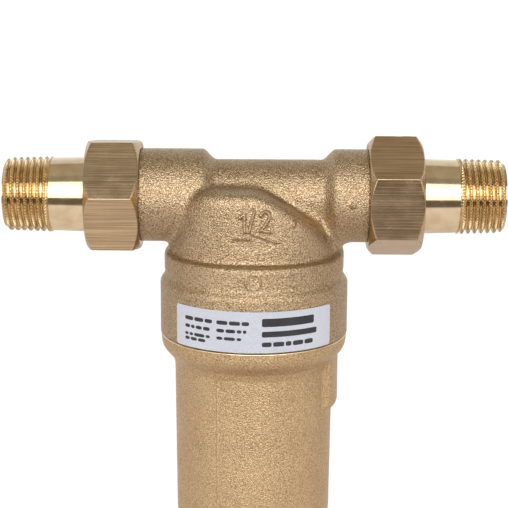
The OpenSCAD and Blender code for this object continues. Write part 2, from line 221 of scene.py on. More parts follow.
def belly_field(x, y, z, inset, k):
    half, r, top = BELLY_HALF - inset, BELLY_R - inset, BELLY_TOP - inset
    side = np.hypot(np.maximum(np.abs(x) - (half - r), 0), y) - r
    roof = z - top
    for at, height, tilt, moves in BELLY_PLANES:
        px, pz = at + inset * moves, top + height
        a = math.radians(tilt)
        plane = (x - px) * math.sin(a) + (z - pz) * math.cos(a)
        roof = smooth_max(roof, plane, max(k * 0.4, 0.01))
    return smooth_max(side, roof, max(k, 0.01))


def outer_field(x, y, z):
    rho_x = np.hypot(y, z)
    rho_z = np.hypot(x, y)
    hubs = 1 - smooth_step(x, -INLET_HUB_X - 0.4, -INLET_HUB_X + HUB_SLOPE + 0.8)
    hubs = hubs + smooth_step(x, OUTLET_HUB_X - HUB_SLOPE - 0.8, OUTLET_HUB_X + 0.4)
    pipe = (rho_x - (BAR_R + (HUB_R - BAR_R) * hubs)) * (1 - 0.3 * np.sin(PI * np.clip(hubs, 0, 1)))
    pipe = np.maximum(pipe, np.abs(x) - STUB_X)
    belly = np.maximum(belly_field(x, y, z, 0, BELLY_ROUNDING), RING_TOP - 3 - z)
    web = smooth_max(np.abs(y) - WEB_HALF_Y, np.abs(x) - WEB_HALF_X, 3.0)
    web = np.maximum(web, np.maximum(z - WEB_TOP, RING_TOP - 3 - z))
    ring = rho_z - (UPPER_R + (RING_R - UPPER_R) * smooth_step(z, BEVEL_TOP + 0.4, BEVEL_FOOT - 0.4))
    ring = smooth_max(ring, z - RING_TOP, 1.3)
    body = smooth_min(pipe, smooth_min(belly, web, 2.0), 1.5 + 2.5 * smooth_step(x, 10, 19))
    body = smooth_min(body, ring, 1.2 + 1.0 * smooth_step(np.abs(x), 20, 24))
    stub = np.maximum(rho_x - STUB_R, np.maximum(np.abs(x) - PORT_X, STUB_X - 1 - np.abs(x)))
    return np.minimum(np.maximum(body, RIM_Z - z), stub)


# raised size mark, pips and ring, and sunk flow arrow, on the front of belly, hub and upper ring
ONE = [(-3.8, -2.5), (-2.6, -1.4), (-2.4, -6.4)]
SLASH = [(-1.3, -6.4), (0.2, -0.5)]
TWO = [(1.9, -1.8), (2.4, -0.9), (3.3, -0.65), (4.1, -1.1), (4.3, -2.1), (3.6, -3.6), (1.9, -6.0),
       (4.3, -6.2)]
PIP = [(10.9, -3.8), (10.9, -4.9)]
STROKES = [(ONE, 0.34), (SLASH, 0.30), (TWO, 0.34), (PIP, 0.45)]
RING_MARK_X, RING_MARK_Z, RING_MARK_R, RING_MARK_HALF = -0.1, -19.2, 2.1, 0.2
HUB_PIP_X, HUB_PIP_Z, HUB_PIP_R = 27.1, -0.4, 0.8
ARROW_Z, ARROW_TAIL, ARROW_NECK, ARROW_TIP = -9.9, -6.0, -0.6, 7.5
SHAFT_HALF, HEAD_HALF = 1.2, 2.7
RAISED, SUNK, FAR_OFF = 0.5, 0.32, 1e3


def mark_field(x, y, z, body):
    front = y < -12
    raised = np.abs(np.hypot(x - RING_MARK_X, z - RING_MARK_Z) - RING_MARK_R) - RING_MARK_HALF
    raised = np.minimum(raised, np.hypot(x - HUB_PIP_X, z - HUB_PIP_Z) - HUB_PIP_R)
    for points, half_width in STROKES:
        raised = np.minimum(raised, stroke_distance(x, z, points, half_width))
    raised = np.where(front, smooth_max(raised, body - RAISED, 0.3), FAR_OFF)
    arrow = polygon_distance(x, z, [
        (ARROW_TAIL, ARROW_Z - SHAFT_HALF), (ARROW_NECK, ARROW_Z - SHAFT_HALF),
        (ARROW_NECK, ARROW_Z - HEAD_HALF), (ARROW_TIP, ARROW_Z), (ARROW_NECK, ARROW_Z + HEAD_HALF),
        (ARROW_NECK, ARROW_Z + SHAFT_HALF), (ARROW_TAIL, ARROW_Z + SHAFT_HALF)])
    sunk = np.where(front, smooth_max(arrow, -(body + SUNK), 0.5), FAR_OFF)
    body = smooth_min(body, raised, 0.35)
    return smooth_max(body, -sunk, 0.3)


def cavity_field(x, y, z):
    """Everything cut out of the casting: water ways, filter chamber and bowl thread bore."""
    rho_x, rho_z = np.hypot(y, z), np.hypot(x, y)
    chamber = np.maximum(belly_field(x, y, z, BELLY_WALL, 0), RING_TOP - 2 - z)
    chamber = np.minimum(chamber, np.maximum(rho_z - (BELLY_R - BELLY_WALL), np.abs(z + 20.5) - 5.2))
    neck = np.maximum(rho_z - NECK_R, NECK_SHOULDER - z)
    neck = np.minimum(neck, np.maximum(rho_z - SPIGOT_R, NECK_FOOT - z))
    neck = np.minimum(neck, np.maximum(rho_x - BAR_R, -x))
    chamber = np.maximum(chamber, -neck)
    bore = np.maximum(rho_z - THREAD_BORE_R, z - THREAD_BORE_TOP)
    inlet = np.maximum(rho_x - PORT_BORE_R, x - INLET_BORE_END)
    outlet = np.maximum(rho_x - PORT_BORE_R, -NECK_BORE_R - x)
    down = np.maximum(rho_z - NECK_BORE_R, np.maximum(z, NECK_FOOT - 1 - z))
    return np.minimum(np.minimum(chamber, bore), np.minimum(np.minimum(inlet, outlet), down))


def housing_field(x, y, z):
    body = mark_field(x, y, z, outer_field(x, y, z))
    return np.maximum(body, -cavity_field(x, y, z))


def spacing(lo, hi, step, fine):
    """Grid lines from lo to hi, twice as close between the two fine limits."""
    if fine is None:
        return np.linspace(lo, hi, int(math.ceil((hi - lo) / step)) + 1)
    parts = []
    for a, b, s in ((lo, fine[0], step), (fine[0], fine[1], step / 2), (fine[1], hi, step)):
        parts.append(np.linspace(a, b, int(math.ceil((b - a) / s)) + 1)[:-1])
    return np.concatenate(parts + [[hi]])


def cell_points(f, inside, axes):
    """One point in each grid cell that the surface crosses, and the point's number by cell."""
    shape = [n - 1 for n in f.shape]
    total = np.zeros(shape + [3])
    count = np.zeros(shape)

    def part(array, c):
        return array[c[0]:c[0] + shape[0], c[1]:c[1] + shape[1], c[2]:c[2] + shape[2]]

    for c in CUBE_CORNERS:
        for axis in range(3):
            if c[axis]:
                continue
            d = list(c)
            d[axis] = 1
            fa, fb = part(f, c), part(f, d)
            cut = part(inside, c) != part(inside, d)
            t = np.where(cut, fa / np.where(cut, fa - fb, 1), 0)
            for k in range(3):
                total[..., k] += np.where(cut, c[k] + (t if k == axis else 0), 0)
            count += cut
    used = count > 0
    index = np.full(shape, -1)
    index[used] = np.arange(used.sum())
    cell = np.argwhere(used)
    inner = total[used] / count[used][:, None]
    verts = np.empty(inner.shape)
    for k, lines in enumerate(axes):
        verts[:, k] = lines[cell[:, k]] + inner[:, k] * np.diff(lines)[cell[:, k]]
    return verts, index


def surface_nets(field, axes):
    """Quad mesh of the field's zero surface: one quad round each grid edge it crosses."""
    f = np.empty([len(a) for a in axes])
    gy, gz = np.meshgrid(axes[1], axes[2], indexing="ij")
    for i, x in enumerate(axes[0]):
        f[i] = field(np.full(gy.shape, x), gy, gz)
    inside = f < 0
    verts, index = cell_points(f, inside, axes)
    quads = []
    for axis in range(3):
        u, v = (axis + 1) % 3, (axis + 2) % 3
        start = [slice(None)] * 3
        stop = [slice(None)] * 3
        start[axis], stop[axis] = slice(0, -1), slice(1, None)
        cut = inside[tuple(start)] != inside[tuple(stop)]
        where = np.argwhere(cut)
        keep = (where[:, u] > 0) & (where[:, v] > 0)
        keep &= (where[:, u] < index.shape[u]) & (where[:, v] < index.shape[v])
        where = where[keep]
        out = inside[tuple(start)][tuple(where.T)]
        ring = []
        for du, dv in ((0, 0), (1, 0), (1, 1), (0, 1)):
            w = where.copy()
            w[:, u] -= du
            w[:, v] -= dv
            ring.append(index[tuple(w.T)])
        quad = np.stack(ring, -1)
        quad[~out] = quad[~out][:, ::-1]
        quads.append(quad)
    return verts, np.concatenate(quads)


def project(field, p, rounds=3, reach=0.35):
    """Moves points along the field's slope on to its zero surface."""
    h = 0.02
    for _ in range(rounds):
        x, y, z = p.T
        f = field(x, y, z)
        slope = np.stack([
            field(x + h, y, z) - field(x - h, y, z),
            field(x, y + h, z) - field(x, y - h, z),
            field(x, y, z + h) - field(x, y, z - h)], -1) / (2 * h)
        move = -f[:, None] * slope / np.maximum((slope ** 2).sum(1), 0.2)[:, None]
        length = np.linalg.norm(move, axis=1, keepdims=True)
        p = p + move * np.minimum(1, reach / np.maximum(length, 1e-9))
    return p, slope / np.maximum(np.linalg.norm(slope, axis=1, keepdims=True), 1e-9)


GRID_MARGIN = 1.1
FINE_BANDS = [(-7.5, 12.0), None, (-14.5, 0.5)]


def build_housing():
    """Casting with as-cast outside, machined bores and a smooth patch under the rating plate."""
    lo = np.array([-PORT_X, -RING_R, RIM_Z]) - GRID_MARGIN
    hi = np.array([PORT_X, RING_R, HUB_R]) + GRID_MARGIN
    axes = [spacing(lo[k], hi[k], VOXEL, FINE_BANDS[k]) for k in range(3)]
    verts, quads = surface_nets(housing_field, axes)
    verts, normals = project(housing_field, verts)
    x, y, z = verts.T
    rho_z = np.hypot(x, y)
    inside = cavity_field(x, y, z) < 0.3
    plate = (rho_z > RING_R - 0.3) & (y < 0)
    relief = cast_relief(verts)
    relief = np.where(plate, np.minimum(relief, 0) - 0.02, relief)
    relief = np.where(inside | (np.hypot(y, z) < 12.3) & (np.abs(x) > STUB_X), 0, relief)
    verts = verts + normals * relief[:, None]
    machined = inside[quads].all(1)
    return add_mesh("housing_casting", verts, quads, "housing_unit", "cast_brass",
                    [CAST, TURNED], machined, ["housing"])


# ---- Turned and drawn pieces ----


def rounded(points, steps=4):
    """Closed outline from (along, radius, fillet) corners, each fillet drawn as an arc."""
    out = []
    n = len(points)
    for i in range(n):
        p = np.array(points[i][:2], float)
        before = np.array(points[i - 1][:2], float) - p
        after = np.array(points[(i + 1) % n][:2], float) - p
        la, lb = np.linalg.norm(before), np.linalg.norm(after)
        fillet = points[i][2] if len(points[i]) > 2 else 0
        if fillet <= 0 or la < 1e-6 or lb < 1e-6:
            out.append(p)
            continue
        before, after = before / la, after / lb
        half = math.acos(np.clip(before @ after, -1, 1)) / 2
        if half > PI / 2 - 0.02:
            out.append(p)
            continue
        back = min(fillet / math.tan(half), la * 0.48, lb * 0.48)
        r = back * math.tan(half)
        centre = p + (before + after) / np.linalg.norm(before + after) * (r / math.sin(half))
        a, b = p + before * back - centre, p + after * back - centre
        turn = math.acos(np.clip(a @ b / (r * r), -1, 1))
        for s in range(steps + 1):
            t = s / steps
            w = (math.sin((1 - t) * turn) * a + math.sin(t * turn) * b) / math.sin(turn)
            out.append(centre + w)
    return np.array(out)


def divided(path, step):
    """Closed outline with points added so that no side is longer than step."""
    out = []
    for a, b in zip(path, np.roll(path, -1, axis=0)):
        count = max(1, int(math.ceil(np.linalg.norm(b - a) / step)))
        out += [a + (b - a) * i / count for i in range(count)]
    return np.array(out)


def turned(along, radius, angles, axis):
    """Points of a piece of revolution: one ring section per angle."""
    rows = len(angles)
    along = np.broadcast_to(along, (rows, along.shape[-1]))
    radius = np.broadcast_to(radius, along.shape)
    c, s = np.cos(angles)[:, None] * radius, np.sin(angles)[:, None] * radius
    order = {"x": (along, c, s), "y": (c, along, s), "z": (c, s, along)}[axis]
    return np.stack(order, -1).reshape(-1, 3)


def closed_piece(name, verts, rows, body, slot, material, crease=40, second=None, **more):
    """Mesh of rings joined round both ways, turned to face outwards.

    second gives another material and the points whose faces take it."""
    faces = grid_faces(rows, len(verts) // rows)
    a, b, c, d = (verts[faces[:, k]] for k in range(4))
    volume = (np.cross(a, b) * c).sum() + (np.cross(a, c) * d).sum()
    if volume < 0:
        faces = faces[:, ::-1]
    materials, which = [material], None
    if second is not None:
        materials.append(second[0])
        which = second[1][faces].all(1)
    obj = add_mesh(name, verts, faces, body, slot, materials, which, **more)
    sharpen(obj, crease)
    return obj


def thread_wave(along, angles, pitch):
    """Right-hand thread: 1 on the crest and 0 in the root of the outside thread."""
    phase = along[None, :] / pitch - angles[:, None] / (2 * PI)
    w = 1 - np.abs(2 * (phase - np.floor(phase)) - 1)
    s = np.clip((w - 0.15) / 0.7, 0, 1)
    return 0.6 * s + 0.4 * s * s * (3 - 2 * s)


def circle(count):
    return np.arange(count) * 2 * PI / count


def wrapped(angle):
    """Angle less half a turn, from minus to plus half a turn."""
    return angle % (2 * PI) - PI


THREAD_ROWS = 160
PER_PITCH = 12
NOTCHES, NOTCH_STEPS, NOTCH_DEPTH = 66, 8, 0.52


GAUGE_LENGTH, RUN_OUT, FADE = 8.2, 0.6, 1.2
NOTCH_WIDTH = 5


def thread_surface(start, stop, pitch, rows):
    """Places along a thread, angles round it, and its wave at each."""
    along = np.linspace(start, stop, int(abs(stop - start) / pitch * PER_PITCH) + 1)
    angles = circle(rows)
    return along, angles, thread_wave(along, angles, pitch)


def thread_piece(name, along, radius, wall, angles, axis, body, slot, material):
    """Thread surface closed by a wall at a plain radius."""
    edge = np.full((len(angles), 1), wall)
    along = np.concatenate([along[:1], along, along[-1:]])
    verts = turned(along, np.concatenate([edge, radius, edge], 1), angles, axis)
    return closed_piece(name, verts, len(angles), body, slot, material, crease=50)


def outside_thread(name, start, stop, crest, depth, pitch, axis, core, body, slot, material,
                   taper=0, end=1.0, notches=0):
    """Threaded sleeve from start to stop, run out at start and chamfered at stop.

    notches is the number of small cuts across the crests in one turn, which hold the sealing fibre."""
    rows = max(THREAD_ROWS, notches * NOTCH_STEPS)
    along, angles, wave = thread_surface(start, stop, pitch, rows)
    from_end = np.abs(stop - along)
    from_start = np.abs(along - start)
    crest_r = crest + taper * (from_end - GAUGE_LENGTH) - np.clip(end - from_end, 0, None)
    root_r = crest + taper * (from_end - GAUGE_LENGTH) - depth
    root_r = np.minimum(root_r + depth * np.clip(1 - from_start / (RUN_OUT * pitch), 0, 1), crest_r)
    if notches:
        across = np.clip(np.arange(rows) % NOTCH_STEPS / NOTCH_WIDTH, 0, 1)
        dip = 0.5 - 0.5 * np.cos(2 * PI * across)
        wave = wave - NOTCH_DEPTH / depth * (dip[:, None] * smooth_step(wave, 0.5, 0.8))
    radius = root_r + (crest_r - root_r) * wave
    return thread_piece(name, along, radius, core, angles, axis, body, slot, material)


def inside_thread(name, start, stop, crest, depth, pitch, axis, shell, body, slot, material):
    """Thread ridge on the wall of a bore, run out at both ends."""
    along, angles, wave = thread_surface(start, stop, pitch, THREAD_ROWS)
    edge = np.clip(np.minimum(np.abs(along - start), np.abs(stop - along)) / FADE, 0, 1)
    radius = crest + depth * (1 - (1 - wave) * edge)
    return thread_piece(name, along, radius, shell, angles, axis, body, slot, material)


def hex_angles(front):
    """Angles round a hexagon, close together at its corners."""
    steps = [0, 0.2, 0.4, 0.6, 0.9, 1.6, 4, 7, 11, 15, 19, 23, 27]
    steps = steps + [30] + [60 - s for s in steps[:0:-1]]
    degrees = [60 * k + s for k in range(6) for s in steps]
    return np.radians(np.array(degrees)) + front


def hex_radius(angles, front, across, rounding=0.008):
    """Distance from the axis to the face of a hexagon with rounded corners."""
    d = (angles - front) % (PI / 3)
    d = np.minimum(d, PI / 3 - d)
    a, b = np.cos(PI / 6 - d), np.cos(PI / 6 + d)
    return across / 2 / smooth_max(a, b, rounding)


# distances from a hexagon's end where its chamfer is drawn, and the depth of its wear and dents
CHAMFER_STEPS = [0, 0.1, 0.2, 0.35, 0.5, 0.65, 0.8, 0.95, 1.1, 1.25, 1.4, 1.6, 1.8, 2.0, 2.2, 2.6]
CORNER_WEAR, FACE_WAVE = 0.12, 0.02


def hex_sleeve(name, outer_from, outer_to, across, front, chamfer, bore, axis, body, slot, material,
               seed, **more):
    """Hexagon with chamfered ends; bore lists (along, radius) from the far end to the near one."""
    angles = hex_angles(front)
    rows = len(angles)
    near = np.array(CHAMFER_STEPS)
    length = abs(outer_to - outer_from)
    middle = np.linspace(3.0, length - 3.0, 14) if length > 8 else np.array([length / 2])
    near = near[near < length / 2 - 0.1]
    along = np.concatenate([near, middle, length - near[::-1]])
    corner = across / math.sqrt(3)
    low = across / 2 - 0.25
    side = np.minimum(along, length - along)
    cone = low + (corner + 0.2 - low) * side / chamfer
    face = hex_radius(angles, front, across)[:, None]
    radius = smooth_min(face, cone[None, :], 0.12)
    radius = np.where(side[None, :] < 0.05, radius - 0.1, radius)
    direction = 1 if outer_to > outer_from else -1
    outer = outer_from + direction * along
    points = turned(outer, radius, angles, axis)
    dents = value_noise(points, 1.3, seed).reshape(rows, -1)
    wavy = value_noise(points, 6.0, seed + 1).reshape(rows, -1)
    worn = np.clip(radius - corner + 0.9, 0, 1)
    radius = radius - CORNER_WEAR * worn * np.clip(dents - 0.25, 0, 1) - FACE_WAVE * (wavy + 1)
    bore = np.array(bore, float)
    inner_r = np.broadcast_to(bore[:, 1], (rows, len(bore)))
    path_along = np.concatenate([outer, bore[:, 0]])
    path_radius = np.concatenate([radius, inner_r], 1)
    verts = turned(path_along, path_radius, angles, axis)
    return closed_piece(name, verts, rows, body, slot, material, crease=35, **more)


def lathe_piece(name, corners, axis, body, slot, material, rows=144, lift=0.0, **more):
    """Piece of revolution with rounded corners, about an axis at the given height."""
    path = rounded(corners)
    verts = turned(path[:, 0], path[:, 1], circle(rows), axis) + [0, 0, lift]
    return closed_piece(name, verts, rows, body, slot, material, **more)


# union ends: distances outwards from the port face
FLANGE_R, FLANGE_NEAR, FLANGE_FAR = 11.9, 2.0, 5.0
TAIL_ROOT_R, TAIL_NECK_R, TAIL_STEP, THREAD_FROM = 10.5, 10.2, 7.9, 15.6
TAIL_BORE_R, TAIL_THREAD_R = 7.75, 10.4775
NUT_NEAR, NUT_FAR, NUT_WALL, NUT_HOLE_R, NUT_BORE_R, NUT_AF = -8.2, 6.9, 5.3, 10.8, 13.32, 30.0
NUT_CHAMFER, NUT_SEED = 2.0, 31
PORT_THREAD_R = 13.2205
NUT_TURN = {"inlet": 5.7, "outlet": 25.4}


def build_union_end(side):
    """Tailpiece, union nut and all the threads of one end."""
    sign = 1 if side == "outlet" else -1

    def at(d):
        return sign * (PORT_X + d)

    end = END_X - PORT_X
    tail = [
        (FLANGE_NEAR, TAIL_BORE_R, 0.3), (FLANGE_NEAR, FLANGE_R, 0.3), (FLANGE_FAR, FLANGE_R, 0.3),
        (FLANGE_FAR, TAIL_ROOT_R, 0.4), (TAIL_STEP, TAIL_ROOT_R, 0.5),
        (THREAD_FROM + 1.9, TAIL_NECK_R, 0.05), (THREAD_FROM + 2.6, TAIL_NECK_R - 0.9, 0.1),
        (end - 0.3, TAIL_NECK_R - 1.3, 0.1), (end, TAIL_NECK_R - 1.5, 0.2), (end, TAIL_BORE_R, 0.5)]
    lathe_piece(side + "_tail_sleeve", [(at(d), r, fillet) for d, r, fillet in tail], "x",
                side + "_end", "turned_brass", TURNED, replaces=[side + "_tailpiece"])
    outside_thread(side + "_tail_thread", at(THREAD_FROM + 1.4), at(end - 0.02), TAIL_THREAD_R,
                   *PIPE_THREAD, TAIL_NECK_R - 1.8, side + "_end", "turned_brass", THREAD,
                   taper=1 / 32, notches=NOTCHES)
    outside_thread(side + "_port_thread", sign * STUB_X, sign * (PORT_X - 0.02), PORT_THREAD_R,
                   *PIPE_THREAD, PORT_THREAD_R - 2.5, "housing_unit", "turned_brass", TURNED)
    bore = [(NUT_FAR, NUT_HOLE_R), (NUT_WALL, NUT_HOLE_R), (NUT_WALL, NUT_BORE_R),
            (NUT_NEAR + 0.8, NUT_BORE_R), (NUT_NEAR, NUT_BORE_R + 0.7)]
    hex_sleeve(side + "_nut_hexagon", at(NUT_NEAR), at(NUT_FAR), NUT_AF,
               PI - math.radians(NUT_TURN[side]), NUT_CHAMFER, [(at(d), r) for d, r in bore], "x",
               side + "_nut", "drawn_brass", DRAWN, NUT_SEED + sign, replaces=[side + "_union_nut"])
    inside_thread(side + "_nut_thread", at(NUT_NEAR + 0.9), at(0.9),
                  PORT_THREAD_R - PIPE_DEPTH + 0.16, *PIPE_THREAD, NUT_BORE_R + 0.4,
                  side + "_nut", "drawn_brass", TURNED)


# ---- Bowl and drain ----

SPIGOT_TOP, FLANGE_Z, FLANGE_RIM_R, BOWL_SHOULDER = -28.0, -39.1, 26.5, -48.0
BOWL_R, BOWL_LOW_R, BOWL_LOW_Z, BOWL_BORE_R, BOWL_FLOOR = 22.6, 22.1, -88.5, 20.0, -95.0
BOSS_R, BOSS_Z, BOWL_THREAD_R, GROOVE_Z, GROOVE_R = 10.8, -103.0, 23.8, -31.0, 21.7
LUG_R, LUG_LOW, LUG_HALF = 24.2, -60.0, 28.0
SOCKET_WALL_R, DRAIN_HOLE_R, RELIEF_SHIFT = 8.4, 6.3, 7.7
PART_LINE = math.radians(-90 - 26.0)
RIDGE_HEIGHT, RIDGE_HALF = 0.2, 0.22


def bowl_outline():
    """Section of the bowl as (height, radius) points."""
    root_r = BOWL_THREAD_R - BOWL_DEPTH - 0.1
    corners = [
        (SPIGOT_TOP, BOWL_BORE_R, 0.3), (SPIGOT_TOP, BOWL_THREAD_R, 0.5),
        (GROOVE_Z + 1.2, BOWL_THREAD_R, 0.1), (GROOVE_Z + 1.2, GROOVE_R, 0.2),
        (GROOVE_Z - 1.2, GROOVE_R, 0.2), (GROOVE_Z - 1.2, BOWL_THREAD_R, 0.1),
        (GROOVE_Z - 1.9, BOWL_THREAD_R, 0.1), (GROOVE_Z - 2.2, root_r, 0.2), (FLANGE_Z, root_r, 0.2),
        (FLANGE_Z, FLANGE_RIM_R, 0.35), (FLANGE_Z - 3.6, FLANGE_RIM_R - 0.2, 5.0),
        (FLANGE_Z - 7.0, FLANGE_RIM_R - 3.2, 2.2), (BOWL_SHOULDER, BOWL_R, 2.5),
        (BOWL_LOW_Z - 9, BOWL_LOW_R, 9), (BOWL_LOW_Z - 10, BOSS_R, 2.0), (BOSS_Z, BOSS_R, 0.5),
        (BOSS_Z, SOCKET_WALL_R, 0.3), (BOSS_Z + 6, SOCKET_WALL_R, 0.2), (BOSS_Z + 6, DRAIN_HOLE_R, 0.2),
        (BOWL_FLOOR, DRAIN_HOLE_R, 0.3), (BOWL_FLOOR, BOWL_BORE_R, 7)]
    return divided(rounded(corners, 8), 0.45)


def lug_height(angles, z, base, wall):
    """How far the lug stands out of the bowl's wall."""
    a = np.degrees(wrapped(angles + PI))[:, None]
    sides = smooth_step(np.abs(a), LUG_HALF + 4.0, LUG_HALF - 5.0)
    ends = smooth_step(z, LUG_LOW - 1.8, LUG_LOW + 1.2)[None, :] * (z < FLANGE_Z - 2)[None, :]
    return np.maximum(np.where(wall[None, :], sides * ends * (LUG_R - base), 0), 0)


def part_line_height(angles):
    """Ridge left by the mould's two halves, on both sides of the bowl."""
    part = np.abs(wrapped(angles - PART_LINE + PI)) * BOWL_R
    other = np.abs(wrapped(angles - PART_LINE)) * BOWL_R
    return RIDGE_HEIGHT * np.exp(-(np.minimum(part, other) / RIDGE_HALF) ** 2)[:, None]


def build_bowl():
    """Cast pot with its lug, part line and machined faces, and the bowl thread of both pieces."""
    path = bowl_outline()
    beside = np.arange(-6, 7) * 0.1 / BOWL_R
    lines = np.concatenate([PART_LINE + beside, PART_LINE + PI + beside]) % (2 * PI)
    angles = np.unique(np.concatenate([circle(400), lines]))
    rows = len(angles)
    z, r = path.T
    base = np.broadcast_to(r, (rows, len(z))).copy()
    outside = (z < FLANGE_Z - 0.3) & (r > BOSS_R - 0.2) & (z > BOSS_Z - 0.2)
    wall = outside & (r > 21) & (r < BOWL_R + 4)
    radius = base + lug_height(angles, z, base, wall)
    radius = radius + np.where((wall & (z < FLANGE_Z - 5))[None, :], part_line_height(angles), 0)
    relief = cast_relief(turned(z, radius, angles, "z") + RELIEF_SHIFT).reshape(rows, -1)
    radius = radius + np.where((outside & (r > BOSS_R - 0.1))[None, :], relief, 0)
    verts = turned(z, radius, angles, "z")
    bored = (r < BOWL_BORE_R + 0.02) & (z > BOWL_FLOOR - 0.1)
    machined = (z > FLANGE_Z - 0.45) | (r < BOSS_R - 0.3) | bored
    closed_piece("bowl_casting", verts, rows, "bowl_unit", "cast_brass", BOWL_CAST, crease=60,
                 second=(TURNED, np.tile(machined, rows)), replaces=["bowl"])
    outside_thread("bowl_spigot_thread", GROOVE_Z - 2.3, FLANGE_Z + 0.6, BOWL_THREAD_R - 0.05,
                   *BOWL_THREAD, BOWL_THREAD_R - 2.2, "bowl_unit", "cast_brass", TURNED, end=0.4)
    inside_thread("housing_bowl_thread", THREAD_BORE_TOP - 6.5, RIM_Z + 0.7,
                  BOWL_THREAD_R - BOWL_DEPTH + 0.12, *BOWL_THREAD, THREAD_BORE_R + 0.5,
                  "housing_unit", "cast_brass", TURNED)


VALVE_TOP = box_mm("drain_valve_body")[1][2]
tail_lo, tail_hi = box_mm("hose_tail")
lever_lo, lever_hi = box_mm("drain_handle")
BALL_Z = (lever_lo[2] + lever_hi[2]) / 2
BARREL_R, VALVE_FOOT, VALVE_HEX_TOP, VALVE_HEX_FOOT = 11.5, BALL_Z - 14, BALL_Z + 13.5, BALL_Z + 8
VALVE_HEX_AF, TAIL_HEX_AF, VALVE_BORE_R, SOCKET_R, GLAND_R = 24.0, 22.0, 4.3, 8.43, 7.5
BARBS, BARB_R, BARB_ROOT_R = 4, 7.0, 6.1
SEAT_R, SEAT_REACH, STEM_R = 8.05, 8.2, 3.1
DRAIN_BRASS = ("bowl_unit", "turned_brass")


def build_valve():
    """Forged body with its hexagon and stem boss."""
    foot, neck_r = VALVE_FOOT, BARREL_R - 0.5
    barrel = [
        (VALVE_TOP, VALVE_BORE_R, 0.3), (VALVE_TOP, 8.2, 0.4), (VALVE_HEX_TOP + 0.2, 8.2, 0.2),
        (VALVE_HEX_TOP, 10.8, 0.3), (VALVE_HEX_FOOT + 0.4, 10.8, 0.3),
        (VALVE_HEX_FOOT - 0.6, neck_r, 0.6), (VALVE_HEX_FOOT - 1.8, BARREL_R, 1.2),
        (foot + 2.6, BARREL_R, 1.0), (foot + 1.6, neck_r, 0.4),
        (foot, neck_r, 0.4), (foot, SOCKET_R, 0.3), (BALL_Z - SEAT_REACH, SOCKET_R, 0.2),
        (BALL_Z - SEAT_REACH, SEAT_R, 0.05), (BALL_Z + SEAT_REACH, SEAT_R, 0.2),
        (BALL_Z + SEAT_REACH, VALVE_BORE_R, 0.3)]
    lathe_piece("valve_barrel", barrel, "z", *DRAIN_BRASS, FORGED, rows=180,
                replaces=["drain_valve_body"])
    hex_sleeve("valve_hexagon", VALVE_HEX_FOOT, VALVE_HEX_TOP, VALVE_HEX_AF, 0.0, 1.6,
               [(VALVE_HEX_TOP, 9.5), (VALVE_HEX_FOOT, 9.5)], "z", *DRAIN_BRASS, FORGED, 41)
    boss = [
        (-9.0, STEM_R, 0.05), (-9.0, GLAND_R + 0.8, 0.05), (-11.4, GLAND_R + 0.8, 0.2),
        (-12.4, GLAND_R, 1.0), (-15.0, GLAND_R, 0.5), (-15.0, 4.6, 0.3), (-11.5, 4.6, 0.2),
        (-11.5, STEM_R, 0.2)]
    lathe_piece("valve_stem_boss", boss, "y", *DRAIN_BRASS, FORGED, lift=BALL_Z)


def build_hose_tail():
    """Threaded plug with a hexagon and a barbed spigot below."""
    foot = tail_lo[2]
    hex_top, hex_foot = VALVE_FOOT - 1, VALVE_FOOT - 5
    pitch = (hex_foot - foot - 2) / BARBS
    path = [
        (tail_hi[2], VALVE_BORE_R, 0.3), (tail_hi[2], 8.3, 0.5), (hex_top + 1.2, 8.3, 0.2),
        (hex_top + 0.8, 7.6, 0.2), (hex_top, 7.6, 0.2), (hex_top, 9.0, 0.1),
        (hex_foot + 1, 9.0, 0.1), (hex_foot + 1, BARB_ROOT_R, 0.5)]
    for k in reversed(range(BARBS)):
        low = foot + k * pitch
        path += [(low + pitch - 0.6, BARB_ROOT_R, 0.35), (low + pitch - 0.6, BARB_R, 0.25),
                 (low + pitch - 1.6, BARB_R, 0.3), (low, BARB_ROOT_R, 0.1)]
    path += [(foot, VALVE_BORE_R, 0.4)]
    lathe_piece("hose_tail_spigot", path, "z", *DRAIN_BRASS, THREAD, rows=180,
                replaces=["hose_tail"])
    hex_sleeve("hose_tail_hexagon", hex_foot, hex_top, TAIL_HEX_AF, 0.3, 1.4,
               [(hex_top, 8.0), (hex_foot + 0.8, 8.0), (hex_foot, BARB_ROOT_R - 0.1)], "z",
               *DRAIN_BRASS, FORGED, 43)


LEVER_HUB_R, LEVER_TIP_R, LEVER_ROUND_R, POCKET_DEPTH = 8.0, 5.0, 1.2, 1.1
POCKET_FROM, POCKET_TO, TOP_RINGS = 11.0, 33.0, 30


def lever_outline(count):
    """Half widths of hub, waist and tip as one closed line, and the spine point of each point."""
    reach = lever_hi[0] - lever_lo[0] - LEVER_HUB_R - LEVER_TIP_R
    lean = math.asin((LEVER_HUB_R - 1.4 - LEVER_TIP_R + 0.5) / reach)
    hub = np.linspace(PI / 2 - lean, 1.5 * PI + lean, count)
    tip = np.linspace(-PI / 2 + lean, PI / 2 - lean, count // 2)
    side = np.linspace(0, 1, count // 2)[1:-1]
    round_hub = LEVER_HUB_R * np.stack([np.cos(hub), np.sin(hub)], -1)
    round_tip = LEVER_TIP_R * np.stack([np.cos(tip), np.sin(tip)], -1) + [reach, 0]
    under = round_hub[-1] + side[:, None] * (round_tip[0] - round_hub[-1])
    over = round_tip[-1] + side[:, None] * (round_hub[0] - round_tip[-1])
    waist = 1.2 * np.sin(PI * side)[:, None] * np.array([0, 1.0])
    points = np.concatenate([round_hub, under + waist, round_tip, over - waist])
    return points, np.stack([np.clip(points[:, 0], 0, reach), 0 * points[:, 0]], -1)


